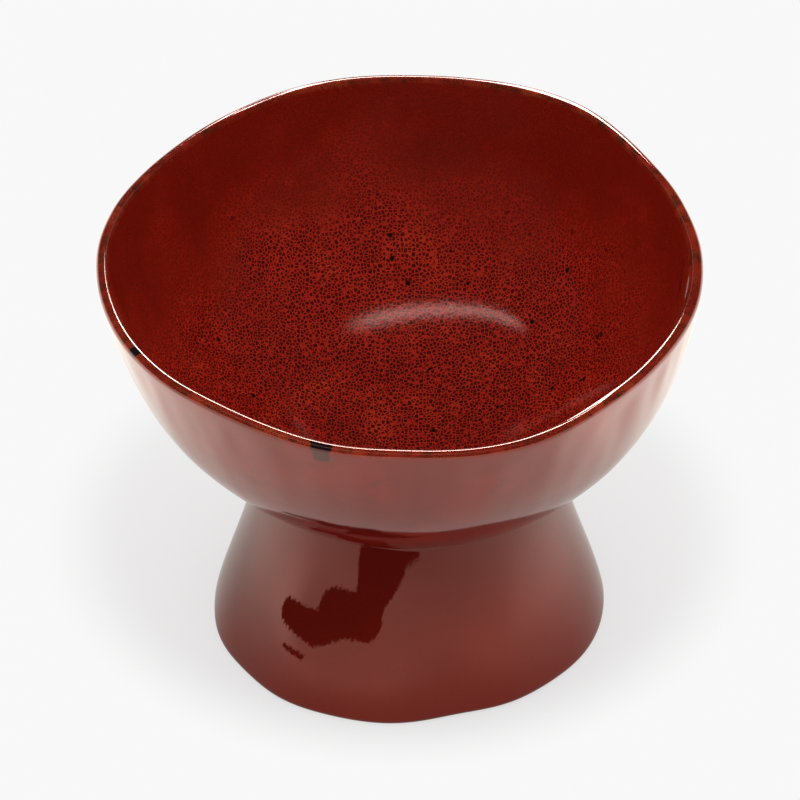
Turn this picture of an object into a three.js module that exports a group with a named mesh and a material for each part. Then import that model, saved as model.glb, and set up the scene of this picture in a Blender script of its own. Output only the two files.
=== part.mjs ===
// Footed stoneware bowl: a round-bottomed bowl luted with slip onto a hollow, flared foot.
// Units are millimetres and +Z is up. The origin lies on the table under the middle of the rim.
// Angles go anticlockwise seen from above, from +X, and the front of the bowl faces -Y.
import * as THREE from "three";

// Bowl: outer size, wall and lip
const RIM_RADIUS = 139.5;
const RIM_HEIGHT = 201;
const RIM_SLOPE = 76.5; // degrees from level that the wall has at the lip
const BELLY_SLOPE = 34.5; // degrees from level that the wall has at the seat
const BELLY_LOW_REACH = 65; // how far the wall keeps the seat's slope, as a curve handle
const BELLY_HIGH_REACH = 37; // how far below the lip the wall keeps the lip's slope, likewise
const LIP_THICKNESS = 5.5;
const LIP_CORNER = 2.1; // radius of the lip's two rounded corners
const WALL_THICKNESS = 11; // at the seat, where the potter leaves it heavy
const FLOOR_THICKNESS = 10; // in the middle of the floor

// Seat: a level ledge turned under the bowl, round a shallow spigot that centres the foot
const SEAT_RADIUS = 71;
const SEAT_HEIGHT = 90.5;
const SPIGOT_DEPTH = 5;
const SPIGOT_CLEARANCE = 0.4;
const SLIP_THICKNESS = 1;
const SLIP_RECESS = 0.4; // how far the slip stays back from both edges of the ledge

// Foot: a hollow flared ring, set a little off the rim's middle
const FOOT_RADIUS = 91.5;
const FOOT_SHIFT_X = 4;
const FOOT_SHIFT_Y = -6;
const FOOT_WALL = 8;
const FOOT_WAIST_REACH = 30; // how far down from the seat the foot stays upright
const FOOT_FLARE_REACH = 21; // how far up from the table the flare keeps its slope
const FOOT_FLARE_SLOPE = 77.5; // degrees from level at the table
const FOOT_OUTER_EDGE = 2.5; // radius of the edge beside the table, outside
const FOOT_INNER_EDGE = 2;

// Hand-formed swells: where round the rim or foot, how wide, how far out and how far up
const RIM_SWELLS = [
  { angle: 335, width: 24, out: -1, up: -2.5 },
  { angle: 289, width: 22, out: 5, up: -4 },
  { angle: 256, width: 17, out: 1.5, up: -3 },
  { angle: 220, width: 19, out: 2.5, up: 0 },
  { angle: 162, width: 24, out: -0.5, up: -1.5 },
  { angle: 139, width: 27, out: -3, up: -1.5 },
  { angle: 108, width: 12, out: -0.5, up: 1.5 },
  { angle: 58, width: 19, out: 4.5, up: 0 },
  { angle: 28, width: 28, out: -7, up: 4.5 },
];
const FOOT_SWELLS = [
  { angle: 312, width: 16, out: -2 },
  { angle: 285, width: 16, out: -4.5 },
  { angle: 230, width: 16, out: 3 },
  { angle: 200, width: 16, out: 2.5 },
];

// How finely curves are cut
const STEPS_ROUND = 72;
const WALL_STEPS = 12;
const FLOOR_STEPS = 5;
const CORNER_STEPS = 4;
const FOOT_STEPS = 8;
const EDGE_STEPS = 3;

const FOOT_TOP = SEAT_HEIGHT - SLIP_THICKNESS;
const FOOT_BORE = SEAT_RADIUS - FOOT_WALL; // inner radius at the seat

const { degToRad, radToDeg, lerp, clamp, euclideanModulo } = THREE.MathUtils;

const glaze = new THREE.MeshStandardMaterial({ color: 0x7c1a10, roughness: 0.12, metalness: 0 });
const slip = new THREE.MeshStandardMaterial({ color: 0x5a2418, roughness: 0.45, metalness: 0 });

// Profiles lie in a plane where x is the radius and y is the height.
function at(radius, height) {
  return new THREE.Vector2(radius, height);
}

function heading(degrees) {
  return at(Math.cos(degToRad(degrees)), Math.sin(degToRad(degrees)));
}

function along(from, degrees, distance) {
  return from.clone().addScaledVector(heading(degrees), distance);
}

// A round stretch from one heading to another.
function arc(centre, radius, from, to, steps) {
  return Array.from({ length: steps + 1 }, (_, i) => along(centre, lerp(from, to, i / steps), radius));
}

// Sum of the swells at an angle, each a smooth lobe.
function swellAt(swells, angle, key) {
  return swells.reduce((sum, swell) => {
    const away = euclideanModulo(angle - degToRad(swell.angle) + Math.PI, 2 * Math.PI) - Math.PI;
    return sum + swell[key] * Math.exp(-((away / degToRad(swell.width)) ** 2));
  }, 0);
}

// Carries a point of the turned bowl to where the maker's hands left it: true at the seat,
// and more and more wavy towards the rim, which stands a little off the foot's middle.
function shapeBowl(point) {
  const share = clamp((point.z - SEAT_HEIGHT) / (RIM_HEIGHT - SEAT_HEIGHT), 0, 1);
  const angle = Math.atan2(point.y, point.x);
  const radius = Math.hypot(point.x, point.y) + swellAt(RIM_SWELLS, angle, "out") * share ** 1.5;
  const lift = swellAt(RIM_SWELLS, angle, "up") * share ** 2;
  point.x = radius * Math.cos(angle) + FOOT_SHIFT_X * (1 - share);
  point.y = radius * Math.sin(angle) + FOOT_SHIFT_Y * (1 - share);
  point.z += lift;
}

// The foot is true at the seat and a little out of round at the table.
function shapeFoot(point) {
  const share = clamp(1 - point.z / FOOT_TOP, 0, 1);
  const angle = Math.atan2(point.y, point.x);
  const radius = Math.hypot(point.x, point.y) + swellAt(FOOT_SWELLS, angle, "out") * share;
  point.x = radius * Math.cos(angle) + FOOT_SHIFT_X;
  point.y = radius * Math.sin(angle) + FOOT_SHIFT_Y;
}

// A solid of revolution round Z from a closed profile, then moved point by point.
function turned(profile, shape) {
  const geometry = new THREE.LatheGeometry(profile, STEPS_ROUND);
  geometry.rotateX(Math.PI / 2);
  const position = geometry.getAttribute("position");
  const point = new THREE.Vector3();
  for (let i = 0; i < position.count; i++) {
    point.fromBufferAttribute(position, i);
    shape(point);
    position.setXYZ(i, point.x, point.y, point.z);
  }
  geometry.computeVertexNormals();
  return geometry;
}

// The bowl's outer line from the seat up to the lip.
function bellyCurve() {
  const low = at(SEAT_RADIUS, SEAT_HEIGHT);
  const high = at(RIM_RADIUS, RIM_HEIGHT - LIP_CORNER);
  return new THREE.CubicBezierCurve(
    low,
    along(low, BELLY_SLOPE, BELLY_LOW_REACH),
    along(high, RIM_SLOPE, -BELLY_HIGH_REACH),
    high,
  );
}

// The same line moved in by the wall, which thins towards the lip.
function innerBelly(curve) {
  return Array.from({ length: WALL_STEPS + 1 }, (_, i) => {
    const share = i / WALL_STEPS;
    const tangent = curve.getTangent(share);
    const inward = at(-tangent.y, tangent.x);
    return curve.getPoint(share).addScaledVector(inward, lerp(WALL_THICKNESS, LIP_THICKNESS, share));
  });
}

// Over the lip from outside to inside: two rounded corners with a flat crest between them.
function lipLine(outer, inner) {
  const across = inner.clone().sub(outer);
  const lean = radToDeg(Math.atan2(across.y, across.x));
  const outerCorner = arc(along(outer, lean, LIP_CORNER), LIP_CORNER, lean - 180, lean - 90, CORNER_STEPS);
  const innerCorner = arc(along(inner, lean, -LIP_CORNER), LIP_CORNER, lean - 90, lean, CORNER_STEPS);
  return [...outerCorner.slice(1), ...innerCorner.slice(0, -1)];
}

// Under the bowl inside the foot: a shallow dome and the spigot's side, up to the ledge.
function undersideLine() {
  const edge = at(FOOT_BORE - SPIGOT_CLEARANCE, SEAT_HEIGHT - SPIGOT_DEPTH);
  const radius = edge.x / Math.sin(degToRad(BELLY_SLOPE));
  const centre = at(0, edge.y + radius * Math.cos(degToRad(BELLY_SLOPE)));
  const dome = arc(centre, radius, -90, BELLY_SLOPE - 90, FLOOR_STEPS);
  dome[0].x = 0;
  return [...dome, at(edge.x, SEAT_HEIGHT)];
}

// The floor inside, from the foot of the wall to the middle, where it is level.
function floorLine(edge, middleHeight) {
  const reach = edge.x / 3;
  const curve = new THREE.CubicBezierCurve(
    edge,
    along(edge, BELLY_SLOPE, -reach),
    at(reach, middleHeight),
    at(0, middleHeight),
  );
  return curve.getPoints(FLOOR_STEPS).slice(1);
}

function bowlProfile() {
  const curve = bellyCurve();
  const underside = undersideLine();
  const outside = curve.getPoints(WALL_STEPS);
  const inside = innerBelly(curve);
  const floor = floorLine(inside[0], underside[0].y + FLOOR_THICKNESS);
  return [...underside, ...outside, ...lipLine(outside.at(-1), inside.at(-1)), ...inside.reverse(), ...floor];
}

// One face of the foot, from the seat's radius down to the table edge.
function footLine(topRadius, low) {
  const top = at(topRadius, FOOT_TOP);
  const curve = new THREE.CubicBezierCurve(
    top,
    along(top, -90, FOOT_WAIST_REACH),
    along(low, 180 - FOOT_FLARE_SLOPE, FOOT_FLARE_REACH),
    low,
  );
  return curve.getPoints(FOOT_STEPS);
}

function footProfile() {
  const outerCentre = at(FOOT_RADIUS - FOOT_OUTER_EDGE, FOOT_OUTER_EDGE);
  const innerCentre = at(FOOT_RADIUS - FOOT_WALL + FOOT_INNER_EDGE, FOOT_INNER_EDGE);
  const outerEdge = arc(outerCentre, FOOT_OUTER_EDGE, -90, 0, EDGE_STEPS);
  const innerEdge = arc(innerCentre, FOOT_INNER_EDGE, 180, 270, EDGE_STEPS);
  const outside = footLine(SEAT_RADIUS, outerEdge.at(-1)).reverse();
  const inside = footLine(FOOT_BORE, innerEdge[0]);
  const line = [...outerEdge.slice(0, -1), ...outside, ...inside, ...innerEdge.slice(1)];
  return [...line, line[0].clone()];
}

function slipProfile() {
  const inner = FOOT_BORE + SLIP_RECESS;
  const outer = SEAT_RADIUS - SLIP_RECESS;
  const corners = [at(inner, FOOT_TOP), at(outer, FOOT_TOP), at(outer, SEAT_HEIGHT), at(inner, SEAT_HEIGHT)];
  return [...corners, corners[0].clone()];
}

function mesh(name, geometry, material) {
  const made = new THREE.Mesh(geometry, material);
  made.name = name;
  return made;
}

const footedBowl = new THREE.Group();
footedBowl.add(
  mesh("bowl", turned(bowlProfile(), shapeBowl), glaze),
  mesh("slip_joint", turned(slipProfile(), shapeFoot), slip),
  mesh("foot", turned(footProfile(), shapeFoot), glaze),
);

export default footedBowl;
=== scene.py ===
"""A footed stoneware bowl in a glossy deep red glaze, dressed for a studio picture.

Every length is in metres, +Z is up and the front of the bowl faces -Y. The bowl, the foot and the
slip between them are each turned from a profile of (radius, height) points. They are then pushed
out of true the way the maker's hands left them.
"""
import logging
import math
from dataclasses import dataclass, field
from enum import Enum
from functools import cached_property

import bmesh
import bpy
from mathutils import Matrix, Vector, noise


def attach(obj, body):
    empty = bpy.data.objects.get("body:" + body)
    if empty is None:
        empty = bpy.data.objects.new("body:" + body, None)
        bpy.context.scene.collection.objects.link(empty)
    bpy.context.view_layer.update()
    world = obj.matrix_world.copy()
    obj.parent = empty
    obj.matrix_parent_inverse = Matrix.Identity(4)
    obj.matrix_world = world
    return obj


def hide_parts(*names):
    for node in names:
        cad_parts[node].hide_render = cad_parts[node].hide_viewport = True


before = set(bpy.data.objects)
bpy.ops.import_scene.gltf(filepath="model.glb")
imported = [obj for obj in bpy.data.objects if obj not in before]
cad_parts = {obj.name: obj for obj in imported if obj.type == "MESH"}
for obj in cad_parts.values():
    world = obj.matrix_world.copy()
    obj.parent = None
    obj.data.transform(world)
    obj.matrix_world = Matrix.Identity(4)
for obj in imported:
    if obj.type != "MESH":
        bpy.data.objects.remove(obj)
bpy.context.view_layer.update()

LOG = logging.getLogger("footed_bowl")

MM = 0.001
ALONG = "along"
GLOW = "glow"
OFF_STROKE = "off_stroke"
SAME_POINT = 1e-7
SAME_VERTEX = 1e-6
Point = tuple[float, float]


class Side(Enum):
    """The bowl's two coats, numbered as its material slots."""

    OUTSIDE = 0
    INSIDE = 1


def srgb(red: int, green: int, blue: int) -> tuple[float, float, float, float]:
    """Turns a colour as a screen shows it into the linear colour that a shader takes.

    Args:
        red: Red from 0 to 255.
        green: Green from 0 to 255.
        blue: Blue from 0 to 255.

    Returns:
        The linear red, green, blue and an alpha of 1.
    """

    def linear(value: float) -> float:
        """Undoes the screen's curve for one channel."""
        share = value / 255
        return share / 12.92 if share <= 0.04045 else ((share + 0.055) / 1.055) ** 2.4

    return (linear(red), linear(green), linear(blue), 1.0)


@dataclass(frozen=True)
class Lobe:
    """A stretch round an edge where something is felt: its middle and its width in degrees."""

    angle: float
    width: float

    def share(self, angle: float) -> float:
        """How much of the lobe is felt at an angle in radians, from 0 to 1."""
        away = (angle - math.radians(self.angle) + math.pi) % math.tau - math.pi
        return math.exp(-((away / math.radians(self.width)) ** 2))


@dataclass(frozen=True)
class Swell(Lobe):
    """A swell that the maker's hands left: how far out and how far up."""

    out: float
    up: float = 0.0


@dataclass(frozen=True)
class Lean(Lobe):
    """A stretch where the lip's crest leans outwards, or inwards below zero, in degrees."""

    degrees: float


@dataclass(frozen=True)
class Press(Lobe):
    """A stretch where fingers pressed the lip or the wall, and how deep."""

    depth: float


class Line:
    """A profile drawn point by point in the plane of (radius, height)."""

    def __init__(self) -> None:
        """Starts an empty line."""
        self.points: list[Point] = []

    def add(self, *points: Point) -> "Line":
        """Adds points, leaving out one that repeats the last.

        Args:
            points: The points to add, in order.

        Returns:
            The line itself.
        """
        for point in points:
            if not self.points or math.dist(point, self.points[-1]) > SAME_POINT:
                self.points.append(point)
        return self

    def curve(self, a: Point, b: Point, c: Point, d: Point, steps: int) -> "Line":
        """Adds a cubic curve from a to d with handles b and c, cut into a number of steps."""
        return self.add(*(bezier(a, b, c, d, i / steps) for i in range(steps + 1)))

    def arc(self, centre: Point, radius: float, start: float, stop: float, steps: int) -> "Line":
        """Adds a round stretch between two headings in degrees, cut into a number of steps."""
        headings = (start + (stop - start) * i / steps for i in range(steps + 1))
        return self.add(*(step(centre, heading, radius) for heading in headings))


def step(start: Point, heading: float, distance: float) -> Point:
    """The point reached from a start along a heading in degrees, anticlockwise from outwards."""
    turn = math.radians(heading)
    return (start[0] + distance * math.cos(turn), start[1] + distance * math.sin(turn))


def bezier(a: Point, b: Point, c: Point, d: Point, t: float) -> Point:
    """A point on a cubic curve.

    Args:
        a: The start.
        b: The start's handle.
        c: The end's handle.
        d: The end.
        t: How far along, from 0 to 1.

    Returns:
        The point.
    """
    u = 1 - t
    weights = (u**3, 3 * u * u * t, 3 * u * t * t, t**3)
    return tuple(sum(w * p[i] for w, p in zip(weights, (a, b, c, d))) for i in range(2))


def clamp(value: float) -> float:
    """Keeps a share between 0 and 1."""
    return min(max(value, 0.0), 1.0)


def smooth(low: float, high: float, value: float) -> float:
    """Goes smoothly from 0 at low to 1 at high, which may also be the smaller."""
    t = clamp((value - low) / (high - low))
    return t * t * (3 - 2 * t)


@dataclass
class Nodes:
    """A small hand for building a material's or a world's node tree."""

    tree: bpy.types.NodeTree
    cursor: int = 0

    def add(self, kind: str, settings: dict | None = None, **inputs: object) -> bpy.types.Node:
        """Adds a node, sets its options, and fills or links its inputs.

        Args:
            kind: The node's type name without "ShaderNode".
            settings: The node's own options, such as its operation.
            inputs: Values or output sockets by input name, with _ for a space, or in0 for input 0.

        Returns:
            The node.
        """
        node = self.tree.nodes.new("ShaderNode" + kind)
        node.location = (220 * (self.cursor % 12), -220 * (self.cursor // 12))
        self.cursor += 1
        for name, value in (settings or {}).items():
            setattr(node, name, value)
        for name, value in inputs.items():
            numbered = name.startswith("in") and name[2:].isdigit()
            socket = node.inputs[int(name[2:])] if numbered else node.inputs[name.replace("_", " ")]
            self.put(value, socket)
        return node

    def put(self, value: object, socket: bpy.types.NodeSocket) -> None:
        """Links an output socket to an input, or writes a plain value to it.

        Args:
            value: The output socket or the plain value.
            socket: The input that takes it.
        """
        if isinstance(value, bpy.types.NodeSocket):
            self.tree.links.new(value, socket)
        else:
            socket.default_value = value

    def math(self, operation: str, *values: object) -> bpy.types.NodeSocket:
        """The result of one operation of the Math node on numbers or sockets."""
        inputs = {"in%d" % i: value for i, value in enumerate(values)}
        return self.add("Math", {"operation": operation}, **inputs).outputs[0]

    def ramp(self, value: object, low: float, high: float) -> bpy.types.NodeSocket:
        """A smooth share that is 0 where the value is low and 1 where it is high.

        Args:
            value: The socket to read.
            low: Where the share starts.
            high: Where it ends.

        Returns:
            The share's socket.
        """
        node = self.add("MapRange", {"interpolation_type": "SMOOTHSTEP"}, Value=value)
        if low < high:
            limits = (low, high, 0.0, 1.0)
        else:
            limits = (high, low, 1.0, 0.0)
        for name, limit in zip(("From Min", "From Max", "To Min", "To Max"), limits):
            node.inputs[name].default_value = limit
        return node.outputs["Result"]

    def mix(self, share: object, low: object, high: object) -> bpy.types.NodeSocket:
        """Mixes two colours.

        Args:
            share: How much of the second, from 0 to 1.
            low: The first colour or socket.
            high: The second colour or socket.

        Returns:
            The mixed colour's socket.
        """
        node = self.add("Mix", {"data_type": "RGBA"})
        for socket, value in zip((node.inputs[0], node.inputs[6], node.inputs[7]), (share, low, high)):
            self.put(value, socket)
        return node.outputs[2]

    def noise(
        self, place: object, size: float, detail: float = 2.0, rough: float = 0.5
    ) -> bpy.types.NodeSocket:
        """Soft noise from 0 to 1, with blotches of a given size in metres and finer layers in them."""
        node = self.add("TexNoise", Vector=place, Scale=1 / size, Detail=detail, Roughness=rough)
        return node.outputs["Fac"]

    def cells(self, place: object, size: float, random: float = 1.0) -> bpy.types.NodeSocket:
        """Distance from the nearest cell's middle in shares of a cell, whose size is in metres."""
        node = self.add("TexVoronoi", Vector=place, Scale=1 / size, Randomness=random)
        return node.outputs["Distance"]

    def net(self, place: object, size: float, random: float = 0.85) -> bpy.types.NodeSocket:
        """Distance from the nearest border between cells in shares of a cell, as cells is."""
        to_edge = {"feature": "DISTANCE_TO_EDGE"}
        node = self.add("TexVoronoi", to_edge, Vector=place, Scale=1 / size, Randomness=random)
        return node.outputs["Distance"]

    def dot(self, place: object, heading: tuple[float, float, float]) -> bpy.types.NodeSocket:
        """How far a place lies along a heading of length 1."""
        node = self.add("VectorMath", {"operation": "DOT_PRODUCT"}, in0=place, in1=heading)
        return node.outputs["Value"]

    def place(self) -> bpy.types.NodeSocket:
        """The place on the object, in its own coordinates."""
        return self.add("TexCoord").outputs["Object"]

    def attribute(self, name: str) -> bpy.types.NodeSocket:
        """The number of a given name that the mesh carries at each point."""
        return self.add("Attribute", {"attribute_name": name, "attribute_type": "GEOMETRY"}).outputs["Fac"]

    def swing(self, share: object, reach: float) -> bpy.types.NodeSocket:
        """Turns a share from 0 to 1 into a value from -reach to reach."""
        return self.math("MULTIPLY_ADD", share, 2 * reach, -reach)

    def seen(self, path: object) -> bpy.types.NodeSocket:
        """1 for rays from the camera, in the gloss and through glass, and 0 for all others."""
        seen = self.math("ADD", path["Is Camera Ray"], path["Is Glossy Ray"])
        return self.math("ADD", seen, path["Is Transmission Ray"])

    def emboss(self, shader: bpy.types.Node, height: object, strength: float, depth: float) -> None:
        """Gives a shader a fine relief from a height of 0 to 1, as deep as given in metres."""
        bump = self.add("Bump", Strength=strength, Distance=depth, Height=height)
        self.put(bump.outputs[0], shader.inputs["Normal"])

    def warped(self, place: object, size: float, reach: float) -> bpy.types.NodeSocket:
        """The place pushed about by noise, so that what is drawn on it looks less regular.

        Args:
            place: The coordinate's socket.
            size: The noise's blotch size in metres.
            reach: How far it pushes, in metres.

        Returns:
            The pushed coordinate's socket.
        """
        node = self.add("TexNoise", Vector=place, Scale=1 / size, Detail=1.0)
        push = self.add("VectorMath", {"operation": "MULTIPLY_ADD"}, in0=node.outputs["Color"], in2=place)
        push.inputs[1].default_value = (2 * reach,) * 3
        return push.outputs[0]


def new_material(name: str) -> tuple[bpy.types.Material, Nodes, bpy.types.Node]:
    """Starts a material with one Principled shader.

    Args:
        name: The material's name.

    Returns:
        The material, its node builder and its shader.
    """
    material = bpy.data.materials.new(name)
    material.use_nodes = True
    nodes = Nodes(material.node_tree)
    shader = material.node_tree.nodes["Principled BSDF"]
    return material, nodes, shader


def empty_material(name: str) -> tuple[bpy.types.Material, Nodes]:
    """Starts a material that has no shader yet.

    Args:
        name: The material's name.

    Returns:
        The material and its node builder.
    """
    material = bpy.data.materials.new(name)
    material.use_nodes = True
    material.node_tree.nodes.clear()
    return material, Nodes(material.node_tree)


@dataclass(frozen=True)
class BlackMark:
    """A black mark on the lip: its angle, its width, how far it runs out and in, and how it narrows."""

    angle: float
    width: float
    outer: float
    inner: float
    taper: float


@dataclass(frozen=True)
class Glaze:
    """What the bowl's two coats share: the thin orange lip, its black marks, the front one a painted
    reflection, and the fine relief.
    """

    lip: tuple = srgb(134, 35, 21)
    lip_warm: tuple = srgb(156, 56, 30)
    lip_brown: tuple = srgb(94, 35, 19)
    lip_speck: tuple = srgb(60, 14, 8)
    mark_black: tuple = srgb(25, 17, 20)
    lip_reach: float = 4.2 * MM
    lip_shift: float = 0.3 * MM
    lip_fade_out: float = 1.3 * MM
    lip_fade_in: float = 1.0 * MM
    lip_fray: float = 1.2 * MM
    lip_fray_size: float = 4.0 * MM
    warm_size: float = 20.0 * MM
    warm_edge: tuple[float, float] = (0.4, 0.7)
    brown_size: float = 7.0 * MM
    brown_edge: tuple[float, float] = (0.48, 0.68)
    speck_size: float = 1.0 * MM
    speck_edge: tuple[float, float] = (0.08, 0.2)
    speck_patch_size: float = 9.0 * MM
    speck_patch_edge: tuple[float, float] = (0.36, 0.54)
    speck_strength: float = 0.85
    mark_fray: float = 2.5 * MM
    mark_fray_size: float = 2.4 * MM
    mark_edge: float = 0.4 * MM
    burn_inner_edge: float = 0.3 * MM
    roughness: float = 0.08
    lip_roughness: float = 0.05
    gloss_start: float = 4.0 * MM
    gloss_end: float = 6.0 * MM
    relief: float = 0.1 * MM
    relief_size: float = 2.6 * MM
    relief_strength: float = 0.22
    ior: float = 1.7
    gloss_tint: tuple = (1.0, 0.46, 0.4, 1.0)
    mark_side: float = 69.75 * MM
    black_marks: tuple = (
        # The front mark is a painted reflection of something dark, painted black over the lip and the wall
        # below it; the other is a black mark.
        BlackMark(255.4, 10.2 * MM, 12.0 * MM, 0.0, 0.15),
        BlackMark(212.0, 6.0 * MM, 6.0 * MM, 2.5 * MM, 0.0),
    )

    def start(self, name: str) -> tuple[bpy.types.Material, Nodes, bpy.types.Node]:
        """Starts the coat with the gloss and relief that both sides share.

        Args:
            name: The material's name.

        Returns:
            The material, its node builder and its shader.
        """
        material, n, shader = new_material(name)
        at_lip = n.ramp(n.math("ABSOLUTE", n.attribute(ALONG)), self.gloss_end, self.gloss_start)
        rough = n.math("MULTIPLY_ADD", at_lip, self.lip_roughness - self.roughness, self.roughness)
        n.put(rough, shader.inputs["Roughness"])
        shader.inputs["IOR"].default_value = self.ior
        shader.inputs["Specular Tint"].default_value = self.gloss_tint
        height = n.noise(n.place(), self.relief_size, 3.0)
        n.emboss(shader, height, self.relief_strength, self.relief)
        return material, n, shader

    def over_lip(self, n: Nodes, coat: object) -> bpy.types.NodeSocket:
        """Lays the thin lip coat and its black marks over a side's own coat.

        Args:
            n: The node builder.
            coat: The side's colour.

        Returns:
            The colour with the lip.
        """
        place = n.place()
        along = n.attribute(ALONG)
        uneven = n.swing(n.noise(place, self.lip_fray_size, 3.0), self.lip_fray)
        middle = n.math("ADD", along, self.lip_shift)
        reach = n.math("ADD", n.math("ABSOLUTE", middle), uneven)
        share = n.ramp(reach, self.lip_reach + self.lip_fade_out, self.lip_reach - self.lip_fade_in)
        coat = n.mix(share, coat, self.lip_colour(n, place))
        # Black marks over the coat; the front one is a painted reflection.
        for mark in self.black_marks:
            coat = n.mix(self.black_mark_share(n, place, along, mark), coat, self.mark_black)
        return coat

    def lip_colour(self, n: Nodes, place: object) -> bpy.types.NodeSocket:
        """The thin coat's orange brown with its fine dark specks.

        Args:
            n: The node builder.
            place: The place on the bowl.

        Returns:
            The lip's colour.
        """
        warm = n.ramp(n.noise(place, self.warm_size, 3.0), *self.warm_edge)
        shade = n.mix(warm, self.lip, self.lip_warm)
        brown = n.ramp(n.noise(place, self.brown_size, 3.0), *self.brown_edge)
        shade = n.mix(brown, shade, self.lip_brown)
        specks = n.ramp(n.net(place, self.speck_size), *self.speck_edge)
        patches = n.ramp(n.noise(place, self.speck_patch_size, 3.0), *self.speck_patch_edge)
        specks = n.math("MULTIPLY", specks, patches)
        return n.mix(n.math("MULTIPLY", specks, self.speck_strength), shade, self.lip_speck)

    def black_mark_share(self, n: Nodes, place: object, along: object, mark: BlackMark) -> bpy.types.NodeSocket:
        """Where a black mark lies.

        Args:
            n: The node builder.
            place: The place on the bowl.
            along: Distance along the profile from the lip's middle.
            mark: The mark.

        Returns:
            The mark's share.
        """
        turn = math.radians(mark.angle)
        sideways = n.dot(place, (-math.sin(turn), math.cos(turn), 0.0))
        outwards = n.dot(place, (math.cos(turn), math.sin(turn), 0.0))
        ragged = n.swing(n.noise(place, self.mark_fray_size, 4.0, 0.6), self.mark_fray)
        across = n.math("ADD", n.math("ABSOLUTE", sideways), ragged)
        across = n.math("MULTIPLY_ADD", along, -mark.taper, across)
        half = mark.width / 2
        share = n.ramp(across, half + self.mark_edge, half - self.mark_edge)
        down = n.math("ADD", along, ragged)
        outer = n.ramp(down, -mark.outer - self.mark_edge, -mark.outer + self.mark_edge)
        inner = n.ramp(down, mark.inner + self.burn_inner_edge, mark.inner - self.burn_inner_edge)
        share = n.math("MULTIPLY", n.math("MULTIPLY", share, outer), inner)
        return n.math("MULTIPLY", share, n.ramp(outwards, 0.0, self.mark_side))


@dataclass(frozen=True)
class InnerGlaze(Glaze):
    """The inner coat: smooth maroon near the lip, breaking into a red net of dark cells lower down."""

    maroon: tuple = srgb(125, 24, 12)
    net_red: tuple = srgb(184, 40, 26)
    net_bright: tuple = srgb(206, 54, 31)
    cell: tuple = srgb(56, 7, 4)
    pit: tuple = srgb(34, 9, 6)
    red_size: float = 20.0 * MM
    red_edge: tuple[float, float] = (0.45, 0.75)
    thin_height: float = 188.0 * MM
    thick_height: float = 112.0 * MM
    drift: float = 55.0 * MM
    drift_size: float = 40.0 * MM
    bend: float = 0.35 * MM
    bend_size: float = 2.2 * MM
    patch: float = 0.05
    patch_size: float = 14.0 * MM
    cell_size: float = 1.72 * MM
    cell_edge: tuple[float, float] = (0.05, 0.17)
    cell_strength: tuple[float, float] = (0.7, 0.2)
    fine_size: float = 1.1 * MM
    fine_edge: tuple[float, float] = (0.06, 0.24)
    fine_strength: tuple[float, float] = (-0.3, 0.45)
    pit_size: float = 13.0 * MM
    pit_edge: tuple[float, float] = (0.11, 0.07)
    gloss_tint: tuple = (1.0, 0.6, 0.54, 1.0)

    def make(self) -> bpy.types.Material:
        """Builds the inner coat.

        Returns:
            The material.
        """
        material, n, shader = self.start("inner_glaze")
        place = n.place()
        thick = self.thickness(n, place)
        bright = n.ramp(n.noise(place, self.red_size, 3.0), *self.red_edge)
        red = n.mix(bright, self.net_red, self.net_bright)
        ground = n.mix(thick, self.maroon, red)
        n.put(self.over_lip(n, self.broken(n, place, ground, thick)), shader.inputs["Base Color"])
        return material

    def thickness(self, n: Nodes, place: object) -> bpy.types.NodeSocket:
        """How thick the coat has run: thin under the lip, thick on the floor, in drifts.

        Args:
            n: The node builder.
            place: The place on the bowl.

        Returns:
            The share of full thickness.
        """
        height = n.add("SeparateXYZ", Vector=place).outputs["Z"]
        drift = n.swing(n.noise(place, self.drift_size, 4.0, 0.6), self.drift)
        return n.ramp(n.math("ADD", height, drift), self.thin_height, self.thick_height)

    def broken(self, n: Nodes, place: object, ground: object, thick: object) -> bpy.types.NodeSocket:
        """Breaks the coat into dark cells, coarse where it is thick and fine where it is thin.

        Args:
            n: The node builder.
            place: The place on the bowl.
            ground: The coat's colour between the cells.
            thick: How thick the coat lies, from 0 to 1.

        Returns:
            The broken colour.
        """
        bent = n.warped(place, self.bend_size, self.bend)
        patch = n.swing(n.noise(place, self.patch_size, 3.0), self.patch)
        coarse = n.ramp(n.math("ADD", n.net(bent, self.cell_size), patch), *self.cell_edge)
        coarse = n.math("MULTIPLY", coarse, n.math("MULTIPLY_ADD", thick, *self.cell_strength))
        fine = n.ramp(n.math("ADD", n.net(bent, self.fine_size), patch), *self.fine_edge)
        fine = n.math("MULTIPLY", fine, n.math("MULTIPLY_ADD", thick, *self.fine_strength))
        coat = n.mix(n.math("MAXIMUM", coarse, fine), ground, self.cell)
        pits = n.ramp(n.cells(place, self.pit_size), *self.pit_edge)
        return n.mix(n.math("MULTIPLY", pits, thick), coat, self.pit)


@dataclass(frozen=True)
class OuterGlaze(Glaze):
    """The outer coat: smooth, deep red with slow warm drifts."""

    coat: tuple = srgb(100, 20, 15)
    warm: tuple = srgb(114, 24, 15)
    deep: tuple = srgb(94, 19, 14)
    drift_size: float = 45.0 * MM
    drift_edge: tuple[float, float] = (0.42, 0.68)
    blotch_size: float = 12.0 * MM
    blotch_edge: tuple[float, float] = (0.45, 0.75)
    ior: float = 1.85

    def make(self) -> bpy.types.Material:
        """Builds the outer coat.

        Returns:
            The material.
        """
        material, n, shader = self.start("outer_glaze")
        place = n.place()
        drifts = n.ramp(n.noise(place, self.drift_size, 3.0), *self.drift_edge)
        coat = n.mix(drifts, self.coat, self.warm)
        blotches = n.ramp(n.noise(place, self.blotch_size, 3.0), *self.blotch_edge)
        coat = n.mix(blotches, coat, self.deep)
        n.put(self.over_lip(n, coat), shader.inputs["Base Color"])
        return material


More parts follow.
